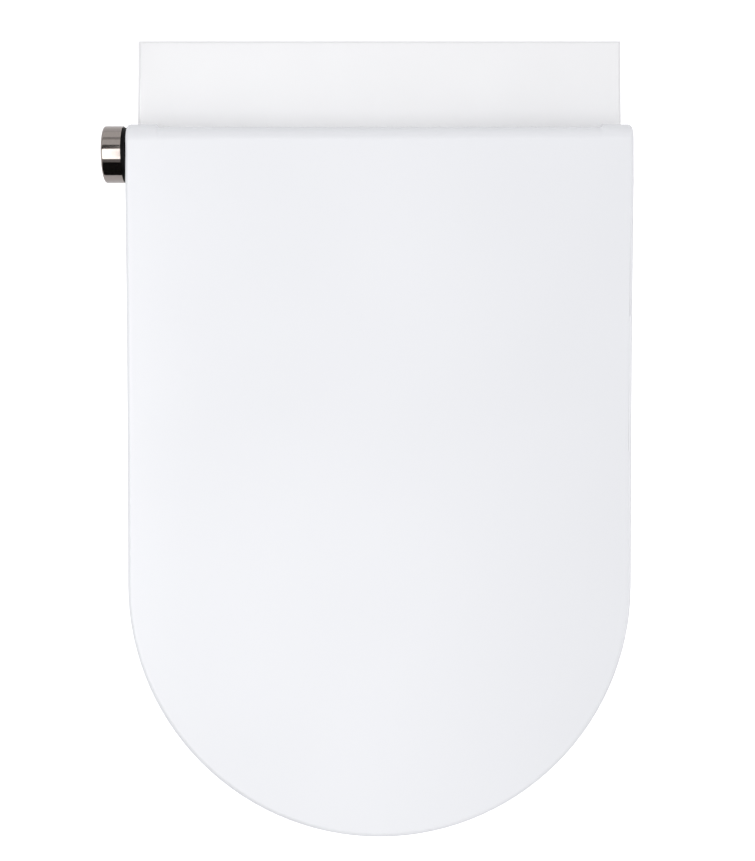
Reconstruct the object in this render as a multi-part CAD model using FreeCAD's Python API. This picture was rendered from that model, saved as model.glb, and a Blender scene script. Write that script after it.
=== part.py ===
import FreeCAD, Part
import math
import os
from FreeCAD import Vector

# Wall-hung shower toilet, seen in place: the wall is the plane Y = 0, the bowl reaches towards -Y,
# +Z is up, and the origin lies midway between the two fixing holes. All lengths are millimetres.

os.makedirs("parts", exist_ok=True)

# Overall sizes
overall_depth = 600.0
lid_half = 188.2
lid_side_bow = 1.6
lid_front_bow = 2.2
rim_height = 80.0
bowl_drop = 245.0
cut_over = 2.0
face_gap = 0.3
run_gap = 0.1

# Ceramic body
ceramic_inset = 6.0
ceramic_side_inset = 2.0
ceramic_wall_taper = 0.8
glaze_wall = 12.0
rim_round = 2.5
bowl_edge_round = 4.0
body_front_bow = 2.0
body_straight = 30.0
level_shares = [-1.0, -0.975, -0.88, -0.7, -0.49, -0.285, -0.08]
width_shares = [0.64, 0.68, 0.735, 0.815, 0.895, 0.95, 0.988]
depth_shares = [0.55, 0.60, 0.665, 0.775, 0.87, 0.94, 0.985]
skirt_end = 30.0
skirt_turn = 15.0

# Bowl and trapway
rim_width = 45.2
rim_front = 51.0
bowl_rear_wall = 11.5
bowl_slope = 113.0
bowl_wall = 11.0
bowl_lip = 14.0
sump_depth = 175.0
sump_length = 77.0
sump_half = 40.0
bowl_level_shares = [1.0, 0.78, 0.55, 0.32, 0.14, 0.0]
bowl_width_shares = [1.0, 0.985, 0.90, 0.66, 0.33, 0.0]
bowl_rear_shares = [1.0, 0.93, 0.62, 0.27, 0.08, 0.0]
bowl_front_shares = [1.0, 0.98, 0.86, 0.58, 0.25, 0.0]
bowl_corner_share = 0.62
trap_bore = 31.0
trap_wall = 8.0
trap_bend = 42.0
mouth_inset = 27.0
mouth_drop = 120.0
dip_lead = 50.0
dip_drop = 215.0
crown_lead = 92.0
crown_drop = 30.0

# Wall side: fixings, flush inlet, waste spigot, ducts
fixing_pitch = 180.0
fixing_boss = 20.0
fixing_boss_length = 48.0
sleeve_bore = 6.5
sleeve_wall = 2.4
sleeve_flange = 13.0
sleeve_flange_thick = 3.0
wall_plate = 14.0
wall_plate_inset = 10.2
wall_plate_drop = 28.0
flush_rise = 35.0
flush_pipe = 27.5
flush_seal_wall = 5.4
flush_seal_length = 22.0
flush_horn_gap = 1.5
flush_horn_wall = 8.0
flush_horn_length = 50.0
waste_drop = 100.0
waste_spigot = 51.0
waste_bore = 43.0
waste_length = 55.0
waste_cone = 40.0
duct_wall = 8.0
duct_rear = 40.0
duct_front = 78.0
duct_floor = 14.0
duct_margin = 6.0
duct_lap = 2.0
jet_lead = 50.0
jet_reach = 36.0
jet_width = 18.0

# Shower unit recess, tray and cover
pocket_rim = 44.2
pocket_lead = 8.5
notch_half = 37.0
notch_drop = 14.0
notch_lead = 30.0
unit_gap = 3.0
tray_wall = 3.0
tray_drop = 14.0
flange_thick = 2.0
flange_lap = 4.0
flange_reach = 7.5
nose_half = 34.0
nose_lead = 8.0
nose_drop = 11.0
hinge_back = 92.0
hinge_rise = 24.3
lid_round = 21.2
lid_rear_round = 14.0
cover_wall = 2.5
cover_rise = 21.0
cover_step = 4.0
cover_depth = 56.0
cover_edge_round = 4.0
barrel_gap = 4.4

# Lid and seat
lid_top = 4.0
lid_wall = 3.2
lid_edge_round = 3.0
lid_skirt_rise = 0.5
ear_width = 22.3
notch_depth = 2.4
notch_round = 2.0
lid_straight = 45.0
lid_peg = 7.0
lid_pad_thick = 3.6
seat_gap = 0.5
seat_inset = 0.8
seat_top_drop = 0.5
seat_lift = 4.0
seat_wall = 4.0
seat_skin = 6.0
seat_ear_width = 18.5
seat_edge_round = 4.0
seat_width = 76.2
seat_rear_width = 65.0
seat_front_width = 92.0
seat_corner_share = 0.555
ear_relief = 5.0
pad_radius = 9.0
pad_post = 11.0
pad_inset = 30.2
pad_lead = 22.0
pad_front_inset = 145.0
pad_front_side_inset = 64.2

# Hinge hardware, with the knob on the seated user's right
tube_radius = 8.0
tube_bore = 5.6
tube_over = 4.5
pin_radius = 6.0
pin_over = 4.5
pin_end_wall = 4.3
damper_length = 27.0
damper_inset = 0.4
boss_radius = 10.0
boss_length = 5.0
spindle_radius = 5.5
spindle_over = 6.0

# Knob
knob_radius = 21.2
knob_width = 14.7
knob_clear = 1.4
knob_skin = 0.8
knob_lip = 3.0
knob_end_round = 1.8
knob_face = 2.5
knob_travel = 2.0
collar_radius = 20.0
collar_gap = 0.6
collar_disc = 2.5
collar_skirt = 5.0
collar_skin = 1.4
encoder_radius = 12.0
encoder_thick = 5.0
encoder_stub = 3.0
encoder_stub_length = 1.6
encoder_gap = 0.8
switch_length = 12.0
spring_gap = 12.0
spring_radius = 4.2
spring_wire = 0.6
spring_turns = 5

# Spray wand and its drive
wand_angle = 30.0
wand_tip_inset = 2.0
wand_tip_rise = 19.0
wand_held = 28.0
wand_radius = 8.5
wand_head = 16.0
wand_travel = 60.0
guide_wall = 3.0
guide_slot = 4.5
seal_thick = 2.0
module = 1.0
pinion_teeth = 16
pinion_width = 6.0
rack_width = 6.0
rack_base = 2.0
rack_start = 22.0
mesh_place = 26.0
mesh_gap = 0.25
motor_radius = 12.0
motor_length = 34.0
motor_shaft = 2.0
motor_shaft_depth = 8.0
shaft_overhang = 1.0
motor_gap = 0.4
motor_foot = 4.0
jet_hole = 1.2
jet_pitch = 3.6
end_cap_depth = 6.0
barb_reach = 6.0
pressure_angle = 20.0
tooth_depth_share = 2.25
tooth_gap_share = 0.25
rack_sink = 1.0

# Water and electric parts inside the tray
heater_radius = 20.0
heater_length = 66.0
heater_gap = 8.0
heater_clear = 6.0
cap_length = 4.0
shelf_rise = 40.0
shelf_thick = 2.0
shelf_edge = 2.0
pump_lead = 14.0
pump_width = 34.0
pump_depth = 16.0
pump_height = 34.0
link_length = 8.0
valve_width = 34.0
valve_depth = 26.0
valve_height = 20.0
coil_radius = 9.0
coil_height = 16.0
buffer_gap = 3.0
buffer_width = 31.0
buffer_depth = 44.0
buffer_height = 38.0
supply_gap = 14.0
supply_width = 58.0
supply_depth = 36.0
supply_height = 34.0
board_gap = 6.0
board_width = 68.0
board_clear = 14.0
board_thick = 1.6
board_height = 66.0
chip_length = 9.6
chip_height = 7.2
chip_thick = 2.5
chip_margin = 12.0
chip_pitch = 16.8
chip_row_pitch = 12.0
chip_low = 3.0
inlet_side = 50.0
inlet_drop = 2.0
inlet_radius = 8.0
inlet_hex = 12.0
inlet_reach = 7.0
inlet_nipple = 4.0
inlet_bore = 5.0
gland_bore = 4.5
chip_columns = 3
chip_rows = 2
gland_radius = 8.0
hose_radius = 3.0
hose_bend = 6.0
screw_radius = 2.0
screw_head = 4.0
screw_length = 12.0
screw_head_thick = 1.6
screw_post = 5.0
screw_inset = 16.4
board_rib = 2.5
edge_round = 2.0

# Places worked out from the sizes above
lid_side_half = lid_half - lid_side_bow
lid_front_half = lid_half - lid_front_bow
hinge_y = -hinge_back
hinge_z = rim_height + hinge_rise
lid_z = hinge_z + lid_round
lid_skirt_z = hinge_z + lid_skirt_rise
seat_top_z = hinge_z - seat_top_drop
seat_z = rim_height + seat_lift
ceramic_half = lid_half - ceramic_side_inset
ceramic_depth = overall_depth - ceramic_inset
cover_start = hinge_back + cover_step
cover_front = cover_start + cover_depth
seat_rear = cover_front + seat_gap + seat_gap
pocket_half = ceramic_half - pocket_rim
pocket_front = cover_front + pocket_lead
flange_front = pocket_front + flange_reach
nose_front = flange_front + nose_lead
notch_front = nose_front + notch_lead
wand_tip_back = nose_front - wand_tip_inset
bowl_half = ceramic_half - rim_width
bowl_rear = pocket_front + bowl_rear_wall
bowl_front = overall_depth - rim_front
sump_rear = bowl_rear + bowl_slope
sump_front = sump_rear + sump_length
mouth_back = sump_rear + mouth_inset
dip_back = mouth_back - dip_lead
crown_back = dip_back - crown_lead
wall_plate_half = ceramic_half - wall_plate_inset
duct_side = pocket_half + duct_margin
duct_end = bowl_rear + jet_lead
duct_throw = bowl_half - jet_reach
seat_open_half = lid_half - seat_width
seat_open_rear = seat_rear + seat_rear_width
seat_open_front = overall_depth - seat_front_width
pad_side = lid_half - pad_inset
pad_rear = seat_open_rear + pad_lead
pad_front = overall_depth - pad_front_inset
pad_front_side = lid_half - pad_front_side_inset
inner_radius = lid_round - lid_top
barrel_radius = lid_round - barrel_gap
barrel_bore = barrel_radius - cover_wall
ear_inner = lid_half - ear_width
seat_ear_outer = ear_inner - seat_gap
seat_ear_inner = seat_ear_outer - seat_ear_width
cover_half = seat_ear_inner - seat_gap
tray_half = pocket_half - unit_gap
tray_rear = duct_front + unit_gap
tray_front = pocket_front - unit_gap
tray_floor_z = -tray_drop + tray_wall
tray_inner_half = tray_half - tray_wall
tray_inner_rear = tray_rear + tray_wall
tray_inner_front = tray_front - tray_wall
damper_end = cover_half - cover_wall - damper_inset
tube_inner_end = damper_end - damper_length - tube_over
pin_inner_end = damper_end - damper_length - pin_over
spindle_inner_end = tube_inner_end - spindle_over
screw_side = cover_half - screw_inset
screw_back = cover_front - screw_post - seat_gap
heater_side = tray_inner_half - heater_gap - heater_length
heater_back = tray_inner_rear + heater_radius + heater_clear
pump_side = heater_side - pump_lead
buffer_side = tray_inner_half - buffer_gap - buffer_width
valve_side = buffer_side - link_length - valve_width
shelf_side = valve_side - shelf_edge
supply_side = tray_inner_half - supply_gap - supply_width
board_side = tray_inner_half - board_gap - board_width
board_back = tray_inner_rear + board_clear
flange_z = rim_height + flange_thick
slab_z = rim_height - glaze_wall
floor_z = -bowl_drop + glaze_wall
inner_half = ceramic_half - glaze_wall
x_axis = Vector(1, 0, 0)
y_axis = Vector(0, 1, 0)
z_axis = Vector(0, 0, 1)
origin = Vector(0, 0, 0)
quarter_turn = math.pi / 2
knob_gap = knob_travel + knob_clear
wand_length = wand_travel + wand_held
guide_radius = wand_radius + run_gap + guide_wall
motor_start = guide_radius + motor_gap
rack_seat = wand_radius - rack_sink
rack_top = rack_seat + rack_base + module * tooth_depth_share
pinion_offset = rack_seat + rack_base + module * (1 + tooth_gap_share) + module * pinion_teeth / 2 + mesh_gap


def box(x0, x1, y0, y1, z0, z1):
    return Part.makeBox(x1 - x0, y1 - y0, z1 - z0, Vector(x0, y0, z0))


def rod(start, axis, radius, length):
    return Part.makeCylinder(radius, length, start, axis)


def ring(start, axis, radius, bore, length):
    return rod(start, axis, radius, length).cut(
        rod(start - axis * cut_over, axis, bore, length + cut_over + cut_over)
    )


def save(name, shape):
    shape.exportStep("parts/" + name + ".step")
    print(name, len(shape.Solids), round(shape.Volume / 1000, 1), shape.isValid())


def rounded_edges(shape, radius, wanted):
    edges = [edge for edge in shape.Edges if wanted(edge)]
    return shape.makeFillet(radius, edges) if edges else shape


def on_level(z):
    def wanted(edge):
        bound = edge.BoundBox
        return abs(bound.ZMin - z) < face_gap and abs(bound.ZMax - z) < face_gap

    return wanted


def d_wire(z, rear, straight, half_rear, half_side, half_front, tip):
    """D outline at one height: straight back, gently bowed sides and a round front."""
    centre = -tip + half_front
    corner = Vector(half_rear, -rear, z)
    shoulder = Vector(half_rear, -rear - straight, z)
    middle = Vector(half_side, (shoulder.y + centre) / 2, z)
    front = Vector(half_front, centre, z)
    nose = Vector(0, -tip, z)
    diagonal = half_front * math.sqrt(0.5)
    way = Vector(diagonal, centre - diagonal, z)

    def other(point):
        return Vector(-point.x, point.y, point.z)

    edges = [
        Part.LineSegment(other(corner), corner),
        Part.LineSegment(corner, shoulder),
        Part.Arc(shoulder, middle, front),
        Part.Arc(front, way, nose),
        Part.Arc(nose, other(way), other(front)),
        Part.Arc(other(front), other(middle), other(shoulder)),
        Part.LineSegment(other(shoulder), other(corner)),
    ]
    return Part.Wire([edge.toShape() for edge in edges])


def oval_wire(z, half, rear, tip, corner):
    """Opening outline at one height: straight back with round corners and a round front."""
    centre = -tip + half
    bow = corner * (1 - math.sqrt(0.5))
    diagonal = half * math.sqrt(0.5)
    back = Vector(half - corner, -rear, z)
    turn = Vector(half - bow, -rear - bow, z)
    side = Vector(half, -rear - corner, z)
    front = Vector(half, centre, z)
    way = Vector(diagonal, centre - diagonal, z)
    nose = Vector(0, -tip, z)

    def other(point):
        return Vector(-point.x, point.y, point.z)

    edges = [
        Part.LineSegment(other(back), back),
        Part.Arc(back, turn, side),
        Part.LineSegment(side, front),
        Part.Arc(front, way, nose),
        Part.Arc(nose, other(way), other(front)),
        Part.LineSegment(other(front), other(side)),
        Part.Arc(other(side), other(turn), other(back)),
    ]
    return Part.Wire([edge.toShape() for edge in edges])


def solid_between(wires):
    return Part.makeLoft(wires, True, False)


def raised(wire, height):
    return Part.Face(wire).extrude(Vector(0, 0, height))


def body_form(inset, bottom, top, rear):
    """The skirted outside of the ceramic, or its hollow when inset by the wall."""
    wires = []
    for level, wide, deep in zip(level_shares, width_shares, depth_shares):
        z = level * bowl_drop
        if wires and z < bottom + glaze_wall:
            continue
        z = max(z, bottom) if not wires else z
        half = ceramic_half * wide - inset
        tip = ceramic_depth * deep - inset
        wires.append(
            d_wire(z, rear, body_straight, half - ceramic_wall_taper, half, half - body_front_bow, tip)
        )
    half = ceramic_half - inset
    tip = ceramic_depth - inset
    for z in (skirt_end, skirt_end + skirt_turn):
        wires.append(
            d_wire(z, rear, body_straight, half - ceramic_wall_taper, half, half - body_front_bow, tip)
        )
    return solid_between(wires).fuse(raised(wires[-1], top - skirt_end - skirt_turn))


def bowl_form(offset, top):
    """The bowl from its rim down to the sump."""
    wires = []
    shares = zip(bowl_level_shares, bowl_width_shares, bowl_rear_shares, bowl_front_shares)
    for level, wide, back, front in shares:
        z = -sump_depth + (rim_height + sump_depth) * level
        half = sump_half + (bowl_half - sump_half) * wide + offset
        rear = sump_rear + (bowl_rear - sump_rear) * back - offset
        tip = sump_front + (bowl_front - sump_front) * front + offset
        if level == bowl_level_shares[0]:
            z -= bowl_lip
        if level == bowl_level_shares[-1]:
            z -= offset
        wires.append(oval_wire(z, half, rear, tip, half * bowl_corner_share))
    return solid_between(wires).fuse(raised(wires[0], top - rim_height + bowl_lip))


def bent_path(points, bend):
    """Straight runs joined by tangent arcs."""
    edges = []
    here = points[0]
    for before, at, after in zip(points, points[1:], points[2:]):
        arriving = (at - before).normalize()
        leaving = (after - at).normalize()
        turn = arriving.getAngle(leaving)
        reach = bend * math.tan(turn / 2)
        start = at - arriving * reach
        end = at + leaving * reach
        inward = (leaving - arriving).normalize()
        middle = at + inward * (bend / math.cos(turn / 2) - bend)
        edges.append(Part.LineSegment(here, start).toShape())
        edges.append(Part.Arc(start, middle, end).toShape())
        here = end
    edges.append(Part.LineSegment(here, points[-1]).toShape())
    return Part.Wire(edges)


def pipe(points, bend, radius):
    path = bent_path(points, bend)
    start = points[0]
    way = (points[1] - start).normalize()
    circle = Part.Wire(Part.Circle(start, way, radius).toShape())
    return path.makePipeShell([circle], True, False)


def trap_pipe(radius):
    points = [
        Vector(0, -mouth_back, -mouth_drop),
        Vector(0, -dip_back, -dip_drop),
        Vector(0, -crown_back, -crown_drop),
        Vector(0, -waste_length - waste_cone, -waste_drop),
        Vector(0, -waste_length, -waste_drop),
    ]
    return pipe(points, trap_bend, radius)


def flush_duct(wall):
    """Cross duct behind the unit with one arm to each side of the bowl."""
    low = duct_floor + duct_wall - wall
    high = slab_z + duct_lap if wall else slab_z - duct_wall + duct_lap
    side = inner_half + duct_lap if wall else inner_half - duct_lap
    inner = duct_side + duct_wall - wall
    rear = duct_rear + duct_wall - wall
    front = duct_front - duct_wall + wall
    end = duct_end - duct_wall + wall
    throw = duct_throw + duct_wall - wall
    shape = box(-side, side, -front, -rear, low, high)
    for sign in (-1, 1):
        xs = sorted([sign * inner, sign * side])
        shape = shape.fuse(box(xs[0], xs[1], -end, -rear, low, high))
        xs = sorted([sign * throw, sign * side])
        start = end - jet_width - wall
        shape = shape.fuse(box(xs[0], xs[1], -end, -start, low, high))
    return shape


def trap_parts(wall):
    """The trapway from the sump to the wall, by its outside or, with no wall, by its bore."""
    end = waste_spigot if wall else waste_bore
    over = 0 if wall else cut_over
    cone_start = Vector(0, -waste_length - waste_cone, -waste_drop)
    return trap_pipe(trap_bore + wall).multiFuse(
        [
            Part.makeCone(trap_bore + wall, end, waste_cone, cone_start, y_axis),
            rod(Vector(0, -waste_length, -waste_drop), y_axis, end, waste_length + over),
        ]
    )


def build_ceramic():
    outer = body_form(0, -bowl_drop, rim_height, -cut_over)
    outer = outer.cut(box(-lid_half, lid_half, 0, cut_over * 2, -bowl_drop, rim_height))
    outer = rounded_edges(outer, rim_round, on_level(rim_height))
    hollow = body_form(glaze_wall, floor_z, slab_z, -cut_over * 2)
    skin = outer.cut(hollow)
    bosses = [
        rod(Vector(side * fixing_pitch / 2, -fixing_boss_length, 0), y_axis, fixing_boss, fixing_boss_length)
        for side in (-1, 1)
    ]
    inside = outer.common(
        bowl_form(bowl_wall, slab_z + duct_lap).multiFuse(
            [
                flush_duct(duct_wall),
                box(
                    -wall_plate_half,
                    wall_plate_half,
                    -wall_plate,
                    0,
                    -wall_plate_drop,
                    slab_z + duct_lap,
                ),
                rod(
                    Vector(0, -flush_horn_length, flush_rise),
                    y_axis,
                    flush_pipe + flush_seal_wall + flush_horn_wall,
                    flush_horn_length,
                ),
            ]
            + bosses
        )
    )
    body = skin.fuse(inside)
    seal_seat = flush_pipe + flush_seal_wall
    trap_bores = trap_parts(0)
    bowl_void = bowl_form(0, rim_height + cut_over)
    voids = [
        bowl_void,
        trap_bores,
        flush_duct(0),
        rod(
            Vector(0, -flush_horn_length - cut_over, flush_rise),
            y_axis,
            flush_pipe + flush_horn_gap,
            flush_horn_length,
        ),
        rod(
            Vector(0, -flush_seal_length, flush_rise),
            y_axis,
            seal_seat,
            flush_seal_length + cut_over,
        ),
        box(
            -pocket_half,
            pocket_half,
            -pocket_front,
            -duct_front,
            slab_z - cut_over,
            rim_height + cut_over,
        ),
        box(
            -notch_half,
            notch_half,
            -notch_front,
            -pocket_front + cut_over,
            -notch_drop,
            rim_height + cut_over,
        ),
    ]
    for side in (-1, 1):
        start = Vector(side * fixing_pitch / 2, -fixing_boss_length - cut_over, 0)
        voids.append(rod(start, y_axis, sleeve_bore + sleeve_wall, fixing_boss_length + cut_over * 2))
        start = Vector(side * inlet_side, -wall_plate - cut_over, -inlet_drop)
        voids.append(rod(start, y_axis, inlet_hex, wall_plate + cut_over * 2))
    for void in voids:
        body = body.cut(void)
    trapway = outer.common(trap_parts(trap_wall))
    for void in (trap_bores, bowl_void, body):
        trapway = trapway.cut(void)

    def bowl_rim(edge):
        bound = edge.BoundBox
        inside = max(bound.XMax, -bound.XMin) < bowl_half + face_gap
        return inside and bound.YMax < -bowl_rear + face_gap * 2 and on_level(rim_height)(edge)

    save("ceramic_bowl", rounded_edges(body, bowl_edge_round, bowl_rim))
    save("trapway", trapway)


def build_wall_fittings():
    bore = flush_pipe + run_gap
    seal = ring(
        Vector(0, -flush_seal_length, flush_rise),
        y_axis,
        flush_pipe + flush_seal_wall,
        bore,
        flush_seal_length,
    )
    save("flush_seal", seal)
    sleeves = []
    for side in (-1, 1):
        x = side * fixing_pitch / 2
        back = Vector(x, -fixing_boss_length, 0)
        front = Vector(x, -fixing_boss_length - sleeve_flange_thick, 0)
        tube = ring(back, y_axis, sleeve_bore + sleeve_wall, sleeve_bore, fixing_boss_length)
        flange = ring(front, y_axis, sleeve_flange, sleeve_bore, sleeve_flange_thick)
        sleeves.append(tube.fuse(flange))
    save("fixing_sleeves", Part.makeCompound(sleeves))


def lid_block():
    """The lid's outside: its plan outline met by its side view."""
    rear = hinge_back - lid_round
    low = hinge_z - lid_round - cut_over
    plan = d_wire(low, rear, lid_straight, lid_half, lid_side_half, lid_front_half, overall_depth)
    tall = raised(plan, lid_z + cut_over - low)
    rise = lid_skirt_z - hinge_z
    wide = lid_half + cut_over
    meet = Vector(-wide, hinge_y - math.sqrt(lid_round**2 - rise**2), lid_skirt_z)
    slant = lid_round * math.sqrt(0.5)
    under = Vector(-wide, hinge_y + slant, hinge_z - slant)
    back = Vector(-wide, -rear, hinge_z)
    shoulder = Vector(-wide, -rear, lid_z - lid_rear_round)
    turn = lid_rear_round * (1 - math.sqrt(0.5))
    way = Vector(-wide, -rear - turn, lid_z - turn)
    top = Vector(-wide, -rear - lid_rear_round, lid_z)
    far_low = Vector(-wide, -overall_depth - cut_over, lid_skirt_z)
    far_high = Vector(-wide, -overall_depth - cut_over, lid_z)
    side_view = Part.Wire(
        [
            Part.LineSegment(far_low, meet).toShape(),
            Part.Arc(meet, under, back).toShape(),
            Part.LineSegment(back, shoulder).toShape(),
            Part.Arc(shoulder, way, top).toShape(),
            Part.LineSegment(top, far_high).toShape(),
            Part.LineSegment(far_high, far_low).toShape(),
        ]
    )
    block = tall.common(Part.Face(side_view).extrude(Vector(wide + wide, 0, 0)))

    def outer_rim(edge):
        bound = edge.BoundBox
        across = bound.YLength < face_gap and bound.ZLength < face_gap
        upright = bound.XLength < face_gap and bound.YLength < face_gap
        upright = upright and bound.YMax < -rear - face_gap
        low_edge = bound.ZLength < face_gap and abs(bound.ZMin - lid_skirt_z) < face_gap
        return not (across or upright or low_edge)

    return rounded_edges(block, lid_edge_round, outer_rim)


def pad_places():
    places = [(side * pad_side, -pad_rear) for side in (-1, 1)]
    return places + [(side * pad_front_side, -pad_front) for side in (-1, 1)]


def build_lid():
    rear = hinge_back - lid_round
    under_top = lid_z - lid_top
    low = lid_skirt_z - cut_over
    lid = lid_block()
    hollow_wire = d_wire(
        low,
        hinge_back + lid_round + ear_relief,
        lid_straight,
        lid_half - lid_wall,
        lid_side_half - lid_wall,
        lid_front_half - lid_wall,
        overall_depth - lid_wall,
    )
    deep = hinge_back + lid_round + ear_relief + cut_over
    far = -rear + cut_over
    step_round = lid_rear_round - notch_depth
    roll_y = -rear - lid_rear_round
    roll_z = lid_z - step_round
    notch = box(-ear_inner, ear_inner, roll_y, far, low, lid_z + cut_over)
    notch = notch.cut(box(-lid_half, lid_half, roll_y, -rear - notch_depth, low, roll_z))
    notch = notch.cut(rod(Vector(-lid_half, roll_y, roll_z), x_axis, step_round, lid_half * 2))

    def notch_corner(edge):
        bound = edge.BoundBox
        across = bound.XLength < face_gap and bound.ZLength > step_round / 2
        return across and bound.YMax < -rear - notch_depth + face_gap

    cuts = [
        raised(hollow_wire, under_top - low),
        box(-ear_inner, ear_inner, -deep, hinge_y, low, under_top),
        rod(Vector(-ear_inner, hinge_y, hinge_z), x_axis, inner_radius, ear_inner * 2),
        box(-ear_inner, ear_inner, -deep, far, hinge_z - lid_round - cut_over, lid_skirt_z),
        rounded_edges(notch, notch_round, notch_corner),
        rod(
            Vector(-lid_half - cut_over, hinge_y, hinge_z),
            x_axis,
            tube_radius + run_gap,
            ear_width + cut_over * 2,
        ),
        rod(
            Vector(ear_inner - cut_over, hinge_y, hinge_z),
            x_axis,
            pin_radius + run_gap,
            ear_width - pin_end_wall + cut_over,
        ),
    ]
    for cut in cuts:
        lid = lid.cut(cut)
    peg_z = seat_top_z + face_gap + lid_pad_thick
    pads = []
    for x, y in pad_places():
        lid = lid.fuse(rod(Vector(x, y, peg_z), z_axis, lid_peg, under_top - peg_z))
        pads.append(rod(Vector(x, y, seat_top_z + face_gap), z_axis, lid_peg, lid_pad_thick))
    save("lid_shell", lid)
    save("lid_pads", Part.makeCompound(pads))


def build_seat():
    side_half = lid_side_half - seat_inset
    front_half = lid_front_half - seat_inset
    depth = overall_depth - seat_inset
    height = seat_top_z - seat_z
    straight = seat_open_front - seat_open_rear - seat_open_half
    corner = math.sqrt(seat_open_half * straight) * seat_corner_share
    start = hinge_back + lid_round + seat_gap + seat_gap
    outline = d_wire(
        seat_z, start, lid_straight, lid_half - seat_inset, side_half, front_half, depth
    )
    seat = raised(outline, height)

    def lower_rim(edge):
        bound = edge.BoundBox
        return on_level(seat_z)(edge) and bound.YMin < -start - face_gap

    seat = rounded_edges(seat, seat_edge_round, lower_rim)
    middle = box(
        -seat_ear_inner,
        seat_ear_inner,
        -seat_rear,
        -start + cut_over,
        seat_z - cut_over,
        seat_top_z + cut_over,
    )
    seat = seat.cut(middle)
    opening = oval_wire(
        seat_z - cut_over,
        seat_open_half,
        seat_open_rear,
        seat_open_front,
        corner,
    )
    seat = seat.cut(raised(opening, height + cut_over * 2))

    def opening_rim(edge):
        bound = edge.BoundBox
        inside = bound.XMax < seat_open_half + face_gap and bound.XMin > -seat_open_half - face_gap
        ahead = bound.YMax < -seat_open_rear + face_gap
        return inside and ahead and on_level(seat_top_z)(edge)

    seat = rounded_edges(seat, seat_edge_round, opening_rim)
    wall = seat_wall + seat_inset
    recess = raised(
        d_wire(
            seat_z - cut_over,
            seat_rear + seat_wall,
            lid_straight,
            lid_half - wall - seat_edge_round,
            lid_side_half - wall - seat_edge_round,
            lid_front_half - wall - seat_edge_round,
            overall_depth - wall - seat_edge_round,
        ),
        height - seat_skin + cut_over,
    )
    kept = raised(
        oval_wire(
            seat_z - cut_over,
            seat_open_half + seat_wall,
            seat_open_rear - seat_wall,
            seat_open_front + seat_wall,
            corner,
        ),
        height,
    )
    recess = recess.cut(kept)
    pads = []
    for x, y in pad_places():
        recess = recess.cut(rod(Vector(x, y, seat_z - cut_over), z_axis, pad_post, height))
        low = Vector(x, y, rim_height + face_gap)
        pads.append(rod(low, z_axis, pad_radius, seat_lift - face_gap))
    seat = seat.cut(recess)
    for side in (-1, 1):
        xs = sorted([side * seat_ear_inner, side * seat_ear_outer])
        ear = rod(Vector(xs[0], hinge_y, hinge_z), x_axis, barrel_radius, seat_ear_width)
        arm = box(xs[0], xs[1], -seat_rear, -cover_start, seat_z, seat_top_z)
        seat = seat.fuse(ear.fuse(arm))
    boss = rod(Vector(-seat_ear_inner, hinge_y, hinge_z), x_axis, boss_radius, boss_length)
    seat = seat.fuse(boss)
    left = Vector(-seat_ear_outer - cut_over, hinge_y, hinge_z)
    right = Vector(seat_ear_inner - cut_over, hinge_y, hinge_z)
    reach = seat_ear_width + cut_over * 2
    seat = seat.cut(rod(left, x_axis, tube_radius + run_gap, reach + boss_length))
    seat = seat.cut(rod(right, x_axis, pin_radius + run_gap, reach))
    save("seat_ring", seat)
    save("seat_pads", Part.makeCompound(pads))


def build_hinge():
    tube_end = lid_half + collar_gap + collar_disc
    tube = ring(
        Vector(-tube_end, hinge_y, hinge_z),
        x_axis,
        tube_radius,
        tube_bore,
        tube_end - tube_inner_end,
    )
    save("hinge_tube", tube)
    pin_end = lid_half - pin_end_wall
    pin = rod(Vector(pin_inner_end, hinge_y, hinge_z), x_axis, pin_radius, pin_end - pin_inner_end)
    save("hinge_pin", pin)
    damper_radius = barrel_bore - face_gap
    left = Vector(-damper_end, hinge_y, hinge_z)
    damper = ring(left, x_axis, damper_radius, tube_radius + run_gap, damper_length)
    cup_end = seat_ear_inner - boss_length - damper_inset
    cup_start = left - x_axis * cut_over
    cup = rod(cup_start, x_axis, boss_radius + run_gap, damper_end - cup_end + cut_over)
    save("seat_damper", damper.cut(cup))
    right = Vector(damper_end - damper_length, hinge_y, hinge_z)
    save(
        "lid_damper", ring(right, x_axis, damper_radius, pin_radius + run_gap, damper_length)
    )


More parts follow.
